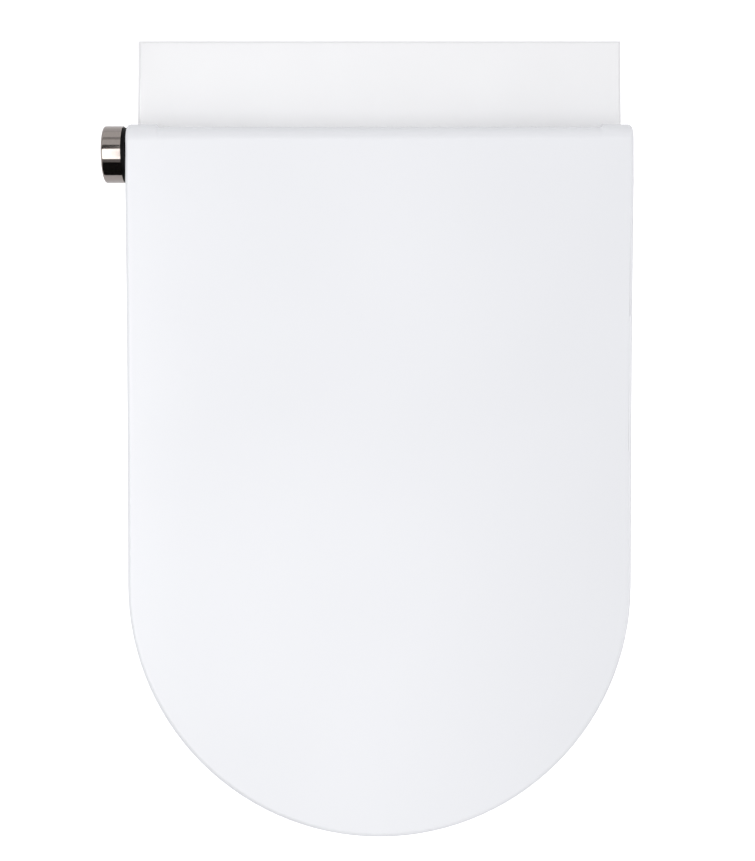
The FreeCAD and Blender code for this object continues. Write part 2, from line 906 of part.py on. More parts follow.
def build_knob():
    inner = lid_half + knob_gap
    outer = inner + knob_width
    cap_radius = knob_radius - knob_lip - run_gap
    end = Vector(-outer, hinge_y, hinge_z)
    sleeve = rod(end, x_axis, knob_radius, knob_width)

    def end_circle(edge):
        return edge.BoundBox.XMax < -outer + face_gap

    sleeve = rounded_edges(sleeve, knob_end_round, end_circle)
    open_part = Vector(-outer + knob_face, hinge_y, hinge_z)
    sleeve = sleeve.cut(rod(open_part, x_axis, knob_radius - knob_skin, knob_width))
    sleeve = sleeve.cut(rod(end, x_axis, cap_radius + run_gap, knob_width))
    save("knob_sleeve", sleeve)
    cap = rod(Vector(-outer, hinge_y, hinge_z), x_axis, cap_radius, knob_face)
    stub_end = outer - knob_face + encoder_stub_length - encoder_gap
    cap = cap.cut(
        rod(
            Vector(-stub_end - face_gap, hinge_y, hinge_z),
            x_axis,
            encoder_stub + run_gap,
            knob_face,
        )
    )
    save("knob_end_cap", cap)
    encoder_end = outer - knob_face - encoder_gap
    encoder = rod(
        Vector(-encoder_end, hinge_y, hinge_z), x_axis, encoder_radius, encoder_thick
    ).fuse(rod(Vector(-stub_end, hinge_y, hinge_z), x_axis, encoder_stub, encoder_thick))
    save("knob_encoder", encoder)
    spindle_end = encoder_end - encoder_thick
    save(
        "knob_spindle",
        rod(
            Vector(-spindle_end, hinge_y, hinge_z),
            x_axis,
            spindle_radius,
            spindle_end - spindle_inner_end,
        ),
    )
    disc_start = lid_half + collar_gap
    disc_end = disc_start + collar_disc
    disc_place = Vector(-disc_end, hinge_y, hinge_z)
    disc = ring(disc_place, x_axis, collar_radius, tube_radius + run_gap, collar_disc)
    skirt = ring(
        Vector(-disc_end - collar_skirt, hinge_y, hinge_z),
        x_axis,
        collar_radius,
        collar_radius - collar_skin,
        collar_skirt,
    )
    save("knob_collar", disc.fuse(skirt))
    switch_start = spindle_inner_end - spring_gap
    save(
        "knob_switch",
        rod(
            Vector(-switch_start, hinge_y, hinge_z),
            x_axis,
            barrel_bore - face_gap,
            switch_length,
        ),
    )
    length = spring_gap - spring_wire * 2
    coil = Part.makeHelix(length / spring_turns, length, spring_radius)
    circle = Part.Wire(
        Part.Circle(Vector(spring_radius, 0, 0), y_axis, spring_wire).toShape()
    )
    spring = Part.Wire(coil).makePipeShell([circle], True, True)
    spring.Placement = FreeCAD.Placement(
        Vector(-spindle_inner_end + spring_wire, hinge_y, hinge_z),
        FreeCAD.Rotation(y_axis, math.degrees(quarter_turn)),
    )
    save("knob_spring", spring)


def build_unit():
    front = -tray_inner_front
    rear = -tray_inner_rear
    tray = box(-tray_half, tray_half, -tray_front, -tray_rear, -tray_drop, rim_height)
    flange = box(
        -cover_half,
        cover_half,
        -flange_front,
        -duct_front + flange_lap,
        rim_height,
        flange_z,
    )
    tray = tray.fuse(flange)
    tray = tray.cut(box(-tray_inner_half, tray_inner_half, front, rear, tray_floor_z, rim_height))
    mouth_rear = -cover_start - cover_wall
    tray = tray.cut(
        box(-tray_inner_half, tray_inner_half, front, mouth_rear, tray_floor_z, flange_z + cut_over)
    )
    nose_inner = nose_half - tray_wall
    nose = box(-nose_half, nose_half, -nose_front, -tray_front, -nose_drop, rim_height)
    nose = nose.cut(
        box(
            -nose_inner,
            nose_inner,
            -nose_front + tray_wall,
            -tray_front + cut_over,
            -nose_drop + tray_wall,
            rim_height - tray_wall,
        )
    )
    tray = tray.fuse(nose)
    tray = tray.cut(
        box(
            -nose_inner,
            nose_inner,
            -tray_front - cut_over,
            front + cut_over,
            -nose_drop + tray_wall,
            rim_height - tray_wall,
        )
    )
    shelf = box(shelf_side, tray_inner_half, front, rear, shelf_rise - shelf_thick, shelf_rise)
    feed_x = buffer_side + buffer_width / 2
    shelf = shelf.cut(
        rod(Vector(feed_x, -heater_back, tray_floor_z), z_axis, hose_radius + face_gap, shelf_rise * 2)
    )
    tray = tray.fuse(shelf)
    for side in (-1, 1):
        post = rod(
            Vector(side * screw_side, -screw_back, tray_floor_z),
            z_axis,
            screw_post,
            flange_z - tray_floor_z,
        )
        tray = tray.fuse(post)
        x = side * inlet_side
        tray = tray.cut(
            rod(
                Vector(x, rear - cut_over, -inlet_drop),
                y_axis,
                inlet_radius + run_gap,
                tray_wall + cut_over * 2,
            )
        )
    motor = wand_point(mesh_place, pinion_offset)
    cradle = box(
        motor_start + motor_foot,
        motor_start + motor_length - motor_foot,
        motor.y - motor_radius / 2,
        motor.y + motor_radius / 2,
        tray_floor_z,
        motor.z,
    )
    cradle = cradle.cut(
        rod(Vector(0, motor.y, motor.z), x_axis, motor_radius + face_gap, motor_length * 2)
    )
    tray = tray.fuse(cradle)
    for x in (-board_side - board_width, -board_side):
        slot = box(
            x - board_rib,
            x + board_rib,
            -board_back - board_rib,
            -board_back + board_thick + board_rib,
            tray_floor_z,
            tray_floor_z + board_height / 2,
        )
        tray = tray.fuse(slot)
    tray = tray.cut(
        box(
            -board_side - board_width,
            -board_side,
            -board_back,
            -board_back + board_thick,
            tray_floor_z,
            tray_floor_z + board_height,
        )
    )
    outer_guide = guide_radius + face_gap
    hole_start = -nose_front + wand_tip_back - wand_radius
    hole = rod(Vector(0, 0, hole_start), z_axis, outer_guide, wand_length)
    slot = box(
        -guide_slot,
        guide_slot,
        0,
        rack_top + face_gap * 2,
        hole_start,
        wand_length,
    )
    for cut in (hole, slot):
        tray = tray.cut(on_wand(cut))
    for side in (-1, 1):
        tray = tray.cut(
            rod(
                Vector(side * screw_side, -screw_back, flange_z - screw_length),
                z_axis,
                screw_radius,
                screw_length + cut_over,
            )
        )
    save("unit_tray", tray)

    barrel_start = Vector(-cover_half, hinge_y, hinge_z)
    body = box(
        -cover_half, cover_half, -cover_front, -cover_start, flange_z, rim_height + cover_rise
    )

    def front_top(edge):
        bound = edge.BoundBox
        return abs(bound.YMax + cover_front) < face_gap and on_level(rim_height + cover_rise)(edge)

    body = rounded_edges(body, cover_edge_round, front_top)
    cover = body.fuse(rod(barrel_start, x_axis, barrel_radius, cover_half * 2))
    inside = cover_half - cover_wall
    cover = cover.cut(rod(Vector(-inside, hinge_y, hinge_z), x_axis, barrel_bore, inside * 2))
    cover = cover.cut(
        box(
            -inside,
            inside,
            -cover_front + cover_wall,
            -cover_start - cover_wall,
            flange_z - cut_over,
            rim_height + cover_rise - cover_wall,
        )
    )
    through = cover_wall + cut_over * 2
    left = Vector(-cover_half - cut_over, hinge_y, hinge_z)
    right = Vector(inside - cut_over, hinge_y, hinge_z)
    cover = cover.cut(rod(left, x_axis, boss_radius + run_gap * 2, through))
    cover = cover.cut(rod(right, x_axis, pin_radius + run_gap, through))
    top_z = rim_height + cover_rise
    screws = []
    for side in (-1, 1):
        low = Vector(side * screw_side, -screw_back, flange_z)
        cover = cover.fuse(rod(low, z_axis, screw_post, cover_rise - flange_thick - cover_wall / 2))
        cover = cover.cut(rod(low - z_axis * cut_over, z_axis, screw_radius + run_gap, cover_rise * 2))
        head = Vector(low.x, low.y, top_z - screw_head_thick)
        cover = cover.cut(rod(head, z_axis, screw_head + run_gap, cover_rise))
        screws.append(
            rod(head, z_axis, screw_head, screw_head_thick).fuse(
                rod(
                    Vector(low.x, low.y, flange_z - screw_length + face_gap),
                    z_axis,
                    screw_radius,
                    top_z - screw_head_thick - flange_z + screw_length - face_gap,
                )
            )
        )
    save("unit_cover", cover)
    save("cover_screws", Part.makeCompound(screws))


def wand_point(along, across):
    """A point on the wand's middle plane, by its place behind the tip and its drop below the axis."""
    angle = math.radians(wand_angle)
    back = Vector(0, math.cos(angle), math.sin(angle))
    down = Vector(0, math.sin(angle), -math.cos(angle))
    return Vector(0, -wand_tip_back, wand_tip_rise) + back * along + down * across


def on_wand(shape):
    """Turns a piece drawn along Z into the wand's slope, tip first."""
    turned = shape.copy()
    turned.Placement = FreeCAD.Placement(
        Vector(0, -wand_tip_back, wand_tip_rise),
        FreeCAD.Rotation(x_axis, wand_angle - math.degrees(quarter_turn)),
    )
    return turned


def rack_shape():
    pitch = math.pi * module
    lean = math.tan(math.radians(pressure_angle)) * module
    quarter = pitch / 4 - mesh_gap / 4
    root_y = rack_seat + rack_base
    tip_y = root_y + module * tooth_depth_share - module * tooth_gap_share
    points = [Vector(-rack_width / 2, rack_seat, rack_start)]
    points.append(Vector(-rack_width / 2, root_y, rack_start))
    first = math.ceil((rack_start - mesh_place) / pitch)
    count = math.floor((wand_length - mesh_place) / pitch) - first
    for number in range(count):
        middle = mesh_place + (first + number + 0.5) * pitch
        root = quarter + lean * (1 + tooth_gap_share)
        tip = quarter - lean
        for y, z in ((root_y, -root), (tip_y, -tip), (tip_y, tip), (root_y, root)):
            points.append(Vector(-rack_width / 2, y, middle + z))
    points.append(Vector(-rack_width / 2, root_y, wand_length))
    points.append(Vector(-rack_width / 2, rack_seat, wand_length))
    points.append(points[0])
    return Part.Face(Part.makePolygon(points)).extrude(Vector(rack_width, 0, 0))


def pinion_shape():
    """Spur pinion with involute flanks, one tooth pointing at the rack."""
    pitch_radius = module * pinion_teeth / 2
    pressure = math.radians(pressure_angle)
    base = pitch_radius * math.cos(pressure)
    tip = pitch_radius + module
    root = pitch_radius - module * (1 + tooth_gap_share)
    half_tooth = math.pi / pinion_teeth / 2 - mesh_gap / 4 / pitch_radius

    def flank(radius):
        if radius <= base:
            return half_tooth + math.tan(pressure) - pressure
        angle = math.acos(base / radius)
        return half_tooth + (math.tan(pressure) - pressure) - (math.tan(angle) - angle)

    radii = [root, base, pitch_radius, tip]
    points = []
    for number in range(pinion_teeth):
        middle = 2 * math.pi * number / pinion_teeth
        sides = [(middle - flank(radius), radius) for radius in radii]
        sides += [(middle + flank(radius), radius) for radius in reversed(radii)]
        for angle, radius in sides:
            points.append(Vector(-pinion_width / 2, -radius * math.cos(angle), radius * math.sin(angle)))
    points.append(points[0])
    gear = Part.Face(Part.makePolygon(points)).extrude(Vector(pinion_width, 0, 0))
    return gear.cut(rod(Vector(-pinion_width, 0, 0), x_axis, motor_shaft, pinion_width * 2))


def build_wand():
    tube = rod(Vector(0, 0, wand_head), z_axis, wand_radius, wand_length - wand_head)
    half = rack_width / 2
    far = wand_length + cut_over
    tube = tube.cut(box(-half, half, rack_seat, wand_radius + cut_over, rack_start, far))
    save("wand_tube", on_wand(tube))
    head = rod(origin, z_axis, wand_radius, wand_head)

    def front_circle(edge):
        return on_level(0)(edge)

    head = rounded_edges(head, wand_radius / 3, front_circle)
    for number in range(-1, 2):
        place = Vector(number * jet_pitch, -wand_radius - cut_over, wand_head / 2)
        head = head.cut(rod(place, y_axis, jet_hole, cut_over * 2))
    save("wand_nozzle", on_wand(head))
    save("wand_rack", on_wand(rack_shape()))

    bore = wand_radius + run_gap
    start = Vector(0, 0, seal_thick)
    guide = ring(start, z_axis, guide_radius, bore, wand_length - seal_thick)
    slot = box(-guide_slot, guide_slot, 0, guide_radius * 2, -cut_over, wand_length + cut_over)
    save("wand_guide", on_wand(guide.cut(slot)))
    seal = ring(origin, z_axis, guide_radius, bore, seal_thick)
    save("wand_seal", on_wand(seal.cut(slot)))
    cap = rod(Vector(0, 0, wand_length), z_axis, guide_radius, end_cap_depth)
    barb_start = Vector(0, 0, wand_length + end_cap_depth / 2)
    barb = rod(barb_start, x_axis, inlet_nipple / 2, guide_radius + barb_reach)
    save("guide_end_cap", on_wand(cap.fuse(barb)))


def build_drive():
    centre = wand_point(mesh_place, pinion_offset)
    gear = pinion_shape()
    gear.Placement = FreeCAD.Placement(
        centre, FreeCAD.Rotation(x_axis, wand_angle - math.degrees(quarter_turn))
    )
    save("drive_pinion", gear)
    shaft_start = -pinion_width / 2 - shaft_overhang
    shaft_end = motor_start + motor_shaft_depth
    save(
        "motor_shaft",
        rod(Vector(shaft_start, centre.y, centre.z), x_axis, motor_shaft, shaft_end - shaft_start),
    )
    motor = rod(Vector(motor_start, centre.y, centre.z), x_axis, motor_radius, motor_length)
    motor = motor.cut(
        rod(
            Vector(motor_start - cut_over, centre.y, centre.z),
            x_axis,
            motor_shaft + run_gap,
            motor_shaft_depth + cut_over + face_gap,
        )
    )
    save("drive_motor", motor)


def build_water():
    """Inlet, valve, buffer tank, heater and pump with the hoses between them."""
    floor_gap_z = tray_floor_z + face_gap
    rear = -tray_inner_rear
    front = -tray_inner_front
    heater_z = floor_gap_z + heater_radius
    heater_start = Vector(heater_side, -heater_back, heater_z)
    heater = rod(heater_start, x_axis, heater_radius, heater_length)
    neck = heater_radius - edge_round
    for place in (cap_length, heater_length - cap_length - edge_round):
        groove = ring(heater_start + x_axis * place, x_axis, heater_radius + cut_over, neck, edge_round)
        heater = heater.cut(groove)
    save("water_heater", heater)

    pump_front = front + edge_round
    pump_rear = pump_front + pump_depth
    pump = box(
        pump_side,
        pump_side + pump_width,
        pump_front,
        pump_rear,
        tray_floor_z,
        tray_floor_z + pump_height,
    )
    pump = rounded_edges(pump, edge_round, on_level(tray_floor_z + pump_height))
    save("water_pump", pump)

    valve_front = front + edge_round * 2
    valve = box(
        valve_side,
        valve_side + valve_width,
        valve_front,
        valve_front + valve_depth,
        shelf_rise,
        shelf_rise + valve_height,
    )
    coil_place = Vector(
        valve_side + valve_width / 2, valve_front + valve_depth / 2, shelf_rise + valve_height
    )
    save("solenoid_valve", valve.fuse(rod(coil_place, z_axis, coil_radius, coil_height)))

    tank_front = -screw_back + screw_post + face_gap
    tank = box(
        buffer_side,
        buffer_side + buffer_width,
        tank_front,
        tank_front + buffer_depth,
        shelf_rise,
        shelf_rise + buffer_height,
    )
    tank = rounded_edges(tank, edge_round * 2, on_level(shelf_rise + buffer_height))
    save("buffer_tank", tank)

    link_y = valve_front + valve_depth / 2
    link_z = shelf_rise + valve_height / 2
    link_start = valve_side + valve_width
    link = rod(Vector(link_start, link_y, link_z), x_axis, hose_radius, buffer_side - link_start)
    save("buffer_link", link)
    feed_x = buffer_side + buffer_width / 2
    heater_top = heater_z + heater_radius
    feed = rod(Vector(feed_x, -heater_back, heater_top), z_axis, hose_radius, shelf_rise - heater_top)
    save("heater_feed", feed)

    inlet_x = inlet_side
    inlet = rod(
        Vector(inlet_x, rear - inlet_nipple, -inlet_drop),
        y_axis,
        inlet_radius,
        -inlet_reach - rear + inlet_nipple,
    )
    collar = rod(
        Vector(inlet_x, -duct_front + face_gap, -inlet_drop), y_axis, inlet_hex - face_gap * 2, inlet_reach
    )
    inlet = inlet.fuse(collar)
    inlet = inlet.cut(
        rod(
            Vector(inlet_x, rear - inlet_nipple - cut_over, -inlet_drop),
            y_axis,
            inlet_bore,
            -rear + inlet_nipple + cut_over,
        )
    )
    save("water_inlet", inlet)
    gland = ring(
        Vector(-inlet_x, rear - inlet_nipple, -inlet_drop),
        y_axis,
        gland_radius,
        gland_bore,
        -inlet_reach - rear + inlet_nipple,
    )
    gland_collar = ring(
        Vector(-inlet_x, -duct_front + face_gap, -inlet_drop),
        y_axis,
        inlet_hex - face_gap * 2,
        gland_radius,
        inlet_reach,
    )
    save("power_gland", gland.fuse(gland_collar))

    start = Vector(inlet_x, rear - inlet_nipple, -inlet_drop)
    turn = start - y_axis * (hose_bend + edge_round)
    entry = Vector(valve_side, link_y + valve_depth / 4, link_z)
    supply = pipe(
        [
            start,
            turn,
            Vector(inlet_x, turn.y, link_z),
            Vector(inlet_x, entry.y, link_z),
            entry,
        ],
        hose_bend,
        hose_radius,
    )
    save("supply_hose", supply)
    out = Vector(heater_side, -heater_back, heater_z)
    bend_x = heater_side - hose_bend - edge_round
    pump_hose = pipe(
        [out, Vector(bend_x, out.y, out.z), Vector(bend_x, pump_rear, out.z)],
        hose_bend,
        hose_radius,
    )
    save("pump_hose", pump_hose)
    barb = wand_point(wand_length + end_cap_depth / 2, 0) + x_axis * (guide_radius + barb_reach)
    top_x = pump_side + hose_radius + edge_round
    top_y = (pump_front + pump_rear) / 2
    wand_hose = pipe(
        [
            barb,
            Vector(top_x, barb.y, barb.z),
            Vector(top_x, top_y, barb.z),
            Vector(top_x, top_y, tray_floor_z + pump_height),
        ],
        hose_bend,
        hose_radius,
    )
    save("wand_hose", wand_hose)


def build_electrics():
    front = -tray_inner_front
    supply_front = front + edge_round
    supply = box(
        -supply_side - supply_width,
        -supply_side,
        supply_front,
        supply_front + supply_depth,
        tray_floor_z,
        tray_floor_z + supply_height,
    )
    supply = rounded_edges(supply, edge_round, on_level(tray_floor_z + supply_height))
    save("power_supply", supply)
    board = box(
        -board_side - board_width,
        -board_side,
        -board_back,
        -board_back + board_thick,
        tray_floor_z,
        tray_floor_z + board_height,
    )
    save("control_board", board)
    chips = []
    for column in range(chip_columns):
        for row in range(chip_rows):
            x = -board_side - board_width + chip_margin + column * chip_pitch
            z = tray_floor_z + board_height / 2 + chip_low + row * chip_row_pitch
            chips.append(
                box(
                    x,
                    x + chip_length,
                    -board_back - chip_thick,
                    -board_back,
                    z,
                    z + chip_height,
                )
            )
    save("board_parts", Part.makeCompound(chips))
build_ceramic()
build_wall_fittings()
build_lid()
build_seat()
build_hinge()
build_knob()
build_unit()
build_wand()
build_drive()
build_water()
build_electrics()
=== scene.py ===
import bpy
import bmesh
import math
from mathutils import Matrix, Vector


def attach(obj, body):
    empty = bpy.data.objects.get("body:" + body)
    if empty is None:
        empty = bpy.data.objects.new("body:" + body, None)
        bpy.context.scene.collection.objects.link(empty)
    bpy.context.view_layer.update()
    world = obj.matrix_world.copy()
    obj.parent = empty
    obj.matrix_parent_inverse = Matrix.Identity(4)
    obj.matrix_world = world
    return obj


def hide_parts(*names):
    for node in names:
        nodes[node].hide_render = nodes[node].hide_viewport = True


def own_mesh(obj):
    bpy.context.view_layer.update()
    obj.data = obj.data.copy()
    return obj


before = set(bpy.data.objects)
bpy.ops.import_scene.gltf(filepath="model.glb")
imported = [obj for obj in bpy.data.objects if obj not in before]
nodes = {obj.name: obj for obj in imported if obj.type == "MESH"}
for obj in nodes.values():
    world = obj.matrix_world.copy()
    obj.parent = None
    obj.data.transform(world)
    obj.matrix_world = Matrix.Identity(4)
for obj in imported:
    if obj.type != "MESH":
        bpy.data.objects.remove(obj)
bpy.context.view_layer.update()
print("stage: frame loaded,", len(nodes), "CAD pieces")

metre = 1000  # in millimetres, the unit of every shape below


def metres(*place):  # a place in millimetres, as a vector in metres
    return Vector(place) / metre


def perMetre(millimetres):  # the noise scale of a pattern whose marks are so many millimetres apart
    return metre / millimetres


def linearColour(code):  # sRGB hex to the linear colour that the shaders take
    values = [int(code[place:place + 2], 16) / 255 for place in (1, 3, 5)]
    return tuple([v / 12.92 if v <= 0.04045 else ((v + 0.055) / 1.055) ** 2.4 for v in values] + [1.0])


plainWhite = (1, 1, 1, 1)


def addNode(tree, kind, settings=None, **sockets):  # one node with its settings, values and links
    node = tree.nodes.new(kind)
    for name, value in (settings or {}).items():
        setattr(node, name, value)
    for name, value in sockets.items():
        numbered = name[0] == "i" and name[1:].isdigit()  # i0 and i1 are sockets by number
        socket = node.inputs[int(name[1:])] if numbered else node.inputs[name.replace("_", " ")]
        if isinstance(value, bpy.types.NodeSocket):
            tree.links.new(value, socket)
        else:
            socket.default_value = value
    return node


def newMaterial(name):
    material = bpy.data.materials.new(name)
    material.use_nodes = True
    tree = material.node_tree
    tree.nodes.clear()
    return material, tree


def finishWith(material, tree, shader):
    addNode(tree, "ShaderNodeOutputMaterial", Surface=shader.outputs[0])
    return material


tintEdges = (0.35, 0.65)  # the share of the noise where the shade ends and where the light tint begins


def tintVariation(tree, place, scale, shade, light, detail=2.0):  # two close tints over a soft noise
    noise = addNode(tree, "ShaderNodeTexNoise", Vector=place, Scale=scale, Detail=detail)
    ramp = addNode(tree, "ShaderNodeValToRGB", Fac=noise.outputs["Fac"])
    for step, (position, tint) in enumerate(zip(tintEdges, (shade, light))):
        ramp.color_ramp.elements[step].position = position
        ramp.color_ramp.elements[step].color = linearColour(tint)
    return ramp.outputs["Color"]


# vitreous china under a fired glaze: deep gloss, a very slow ripple and hardly any change of tint
chinaValues = {
    "light": "#F6F6F7", "shade": "#F4F4F5", "tintSize": 90,
    "rippleSize": 38, "ripple": 0.02, "rippleHeight": 0.001,
    "roughness": 0.11, "ior": 1.52,
}


def glazedChina():
    material, tree = newMaterial("glazedVitreousChina")
    v = chinaValues
    place = addNode(tree, "ShaderNodeTexCoord").outputs["Object"]
    tint = tintVariation(tree, place, perMetre(v["tintSize"]), v["shade"], v["light"])
    ripple = addNode(tree, "ShaderNodeTexNoise", Vector=place, Scale=perMetre(v["rippleSize"]), Detail=1.0)
    bump = addNode(
        tree, "ShaderNodeBump", Strength=v["ripple"], Distance=v["rippleHeight"], Height=ripple.outputs["Fac"])
    shader = addNode(
        tree, "ShaderNodeBsdfPrincipled",
        Base_Color=tint, Roughness=v["roughness"], IOR=v["ior"], Normal=bump.outputs[0])
    return finishWith(material, tree, shader)


# duroplast pressed in a polished mould: slightly bluish white, gloss with a faint orange peel
duroplastValues = {
    "light": "#F1F2F5", "shade": "#EFF0F3", "tintSize": 160,
    "peelSize": 3.2, "peel": 0.012, "peelHeight": 0.0002,
    "roughness": 0.2, "ior": 1.5,
}


def pressedDuroplast():
    material, tree = newMaterial("pressedDuroplast")
    v = duroplastValues
    place = addNode(tree, "ShaderNodeTexCoord").outputs["Object"]
    tint = tintVariation(tree, place, perMetre(v["tintSize"]), v["shade"], v["light"], 1.0)
    peel = addNode(tree, "ShaderNodeTexNoise", Vector=place, Scale=perMetre(v["peelSize"]), Detail=2.0)
    bump = addNode(
        tree, "ShaderNodeBump", Strength=v["peel"], Distance=v["peelHeight"], Height=peel.outputs["Fac"])
    shader = addNode(
        tree, "ShaderNodeBsdfPrincipled",
        Base_Color=tint, Roughness=v["roughness"], IOR=v["ior"], Normal=bump.outputs[0])
    return finishWith(material, tree, shader)


# mouldings: light tint, shade, grain size in mm, grain, roughness, IOR
# the real grain is finer than these sizes, which are as coarse as it needs to show
mouldingValues = {
    # ABS from a satin mould: clean white with soft-edged highlights
    "mouldedAbs": ("#E9EAEC", "#E5E6E9", 0.8, 0.05, 0.35, 1.53),
    # EPDM rubber, press moulded: dull and nearly black
    "mouldedEpdmRubber": ("#2A2A2B", "#232324", 0.6, 0.2, 0.65, 1.52),
    # soft elastomer of the bumpers: matt pale grey
    "mouldedGreyTpe": ("#C9CBCE", "#C1C3C6", 0.6, 0.2, 0.6, 1.5),
    # nylon: dry grey with an even grain
    "mouldedNylon": ("#B4B6B9", "#ABADB0", 0.8, 0.12, 0.5, 1.53),
    # dark acetal of the housings: charcoal with a low waxy sheen
    "mouldedDarkAcetal": ("#333436", "#2C2D2F", 0.8, 0.12, 0.45, 1.48),
    # black acetal: reads as a black gap beside the knob, so its IOR is matched down to keep highlights off it
    "mouldedBlackAcetal": ("#0E0E0F", "#0A0A0B", 0.8, 0.1, 0.5, 1.15),
    # acetal cut with a hob: creamy white, slightly dull on the teeth
    "hobbedWhiteAcetal": ("#E4E3DE", "#DCDBD6", 0.5, 0.1, 0.4, 1.48),
    # extruded silicone: milky hose with a soft shine
    "extrudedSilicone": ("#D2D6D9", "#C8CDD1", 0.7, 0.1, 0.35, 1.43),
    # polypropylene of the tank: cool milky white
    "mouldedPolypropylene": ("#DDE6EC", "#D3DDE4", 1.0, 0.05, 0.3, 1.49),
    # glass and epoxy laminate under lacquer: board green with a slightly uneven sheen
    "etchedBoardLaminate": ("#2F6B46", "#28603E", 0.5, 0.1, 0.4, 1.55),
}
mouldingForm = {"tintToGrain": 6, "grainHeight": 0.0002}


def moulding(name, light, shade, grainSize, grain, roughness, ior):
    material, tree = newMaterial(name)
    v = mouldingForm
    place = addNode(tree, "ShaderNodeTexCoord").outputs["Object"]
    tint = tintVariation(tree, place, perMetre(grainSize * v["tintToGrain"]), shade, light)
    texture = addNode(tree, "ShaderNodeTexNoise", Vector=place, Scale=perMetre(grainSize), Detail=3.0)
    bump = addNode(
        tree, "ShaderNodeBump", Strength=grain, Distance=v["grainHeight"], Height=texture.outputs["Fac"])
    shader = addNode(
        tree, "ShaderNodeBsdfPrincipled", Base_Color=tint, Roughness=roughness, IOR=ior, Normal=bump.outputs[0])
    return finishWith(material, tree, shader)


# metals: light tint, shade, mark size in mm, how the marks are squeezed along x, y and z, marks, roughness
metalValues = {
    # drawn stainless steel: bright, with fine lines along the wire and tube
    "drawnStainlessSteel": ("#C9C8C5", "#BDBCB8", 0.5, (0.08, 1, 1), 0.15, 0.28),
    # zinc plate on steel: bluish grey, a little cloudy
    "zincPlatedSteel": ("#BFC3C8", "#AFB4BA", 1.2, (0.3, 1, 1), 0.12, 0.34),
    # turned brass: warm yellow with marks round it
    "turnedBrass": ("#D9B36A", "#CDA65D", 0.4, (1, 0.1, 1), 0.12, 0.25),
    # polished stainless tube: nearly a mirror
    "polishedStainlessSteel": ("#D6D6D5", "#CBCBCA", 0.5, (1, 0.2, 1), 0.06, 0.14),
    # black nickel plate, polished: a dark warm mirror that shows sharp bands of light
    "polishedBlackNickel": ("#99918D", "#958D89", 0.6, (1, 0.2, 0.2), 0.02, 0.08),
}
markHeight = 0.0001


def markedMetal(name, light, shade, markSize, along, marks, roughness):
    material, tree = newMaterial(name)
    place = addNode(tree, "ShaderNodeTexCoord").outputs["Object"]
    stretch = addNode(tree, "ShaderNodeMapping", Vector=place, Scale=along)
    tint = tintVariation(tree, stretch.outputs[0], perMetre(markSize), shade, light, 3.0)
    texture = addNode(
        tree, "ShaderNodeTexNoise", Vector=stretch.outputs[0], Scale=perMetre(markSize), Detail=3.0)
    bump = addNode(tree, "ShaderNodeBump", Strength=marks, Distance=markHeight, Height=texture.outputs["Fac"])
    shader = addNode(
        tree, "ShaderNodeBsdfPrincipled",
        Base_Color=tint, Metallic=1.0, Roughness=roughness, Normal=bump.outputs[0])
    return finishWith(material, tree, shader)


# the same nickel on a face turned in a lathe: fine rings about the knob's line that spread the highlight
# the real feed is under 0.1 mm, so the rings are drawn coarser to show
turnedValues = {
    "colour": "#99918D", "line": (0, 0.092, -0.1043),
    "ringSize": 0.35, "rings": 0.05, "ringHeight": 0.0001, "roughness": 0.12,
}


def turnedFace():
    material, tree = newMaterial("turnedBlackNickel")
    v = turnedValues
    place = addNode(tree, "ShaderNodeTexCoord").outputs["Object"]
    about = addNode(tree, "ShaderNodeVectorMath", {"operation": "ADD"}, i0=place, i1=v["line"])
    across = addNode(tree, "ShaderNodeVectorMath", {"operation": "MULTIPLY"}, i0=about.outputs[0], i1=(0, 1, 1))
    radius = addNode(tree, "ShaderNodeVectorMath", {"operation": "LENGTH"}, i0=across.outputs[0])
    rings = addNode(
        tree, "ShaderNodeTexNoise", {"noise_dimensions": "1D"},
        W=radius.outputs["Value"], Scale=perMetre(v["ringSize"]), Detail=2.0)
    bump = addNode(
        tree, "ShaderNodeBump", Strength=v["rings"], Distance=v["ringHeight"], Height=rings.outputs["Fac"])
    shader = addNode(
        tree, "ShaderNodeBsdfPrincipled",
        Base_Color=linearColour(v["colour"]), Metallic=1.0, Roughness=v["roughness"], Normal=bump.outputs[0])
    return finishWith(material, tree, shader)


made = [glazedChina(), pressedDuroplast()]
made += [moulding(name, *values) for name, values in mouldingValues.items()]
made += [markedMetal(name, *values) for name, values in metalValues.items()]
made += [turnedFace()]
materials = {material.name: material for material in made}

# which CAD pieces keep their shape and take which material
finishes = {
    "glazedVitreousChina": ["ceramic_bowl", "trapway"],
    "pressedDuroplast": ["lid_shell", "seat_ring"],
    "mouldedAbs": ["unit_tray", "unit_cover", "wand_nozzle"],
    "mouldedEpdmRubber": ["flush_seal", "wand_seal"],
    "mouldedGreyTpe": ["lid_pads", "seat_pads"],
    "mouldedNylon": ["fixing_sleeves", "wand_guide", "guide_end_cap", "power_gland"],
    "mouldedDarkAcetal": ["seat_damper", "lid_damper", "water_pump", "solenoid_valve", "power_supply"],
    "mouldedBlackAcetal": ["knob_collar", "knob_switch", "knob_encoder", "board_parts"],
    "hobbedWhiteAcetal": ["drive_pinion", "wand_rack"],
    "extrudedSilicone": ["buffer_link", "heater_feed", "supply_hose", "pump_hose", "wand_hose"],
    "mouldedPolypropylene": ["buffer_tank"],
    "etchedBoardLaminate": ["control_board"],
    "drawnStainlessSteel": [
        "cover_screws", "hinge_tube", "hinge_pin", "knob_spindle", "knob_spring", "motor_shaft", "water_heater"],
    "zincPlatedSteel": ["drive_motor"],
    "turnedBrass": ["water_inlet"],
    "polishedStainlessSteel": ["wand_tube"],
    "polishedBlackNickel": ["knob_sleeve", "knob_end_cap"],
}
for finish, names in finishes.items():
    for name in names:
        mesh = nodes[name].data
        mesh.materials.clear()
        mesh.materials.append(materials[finish])
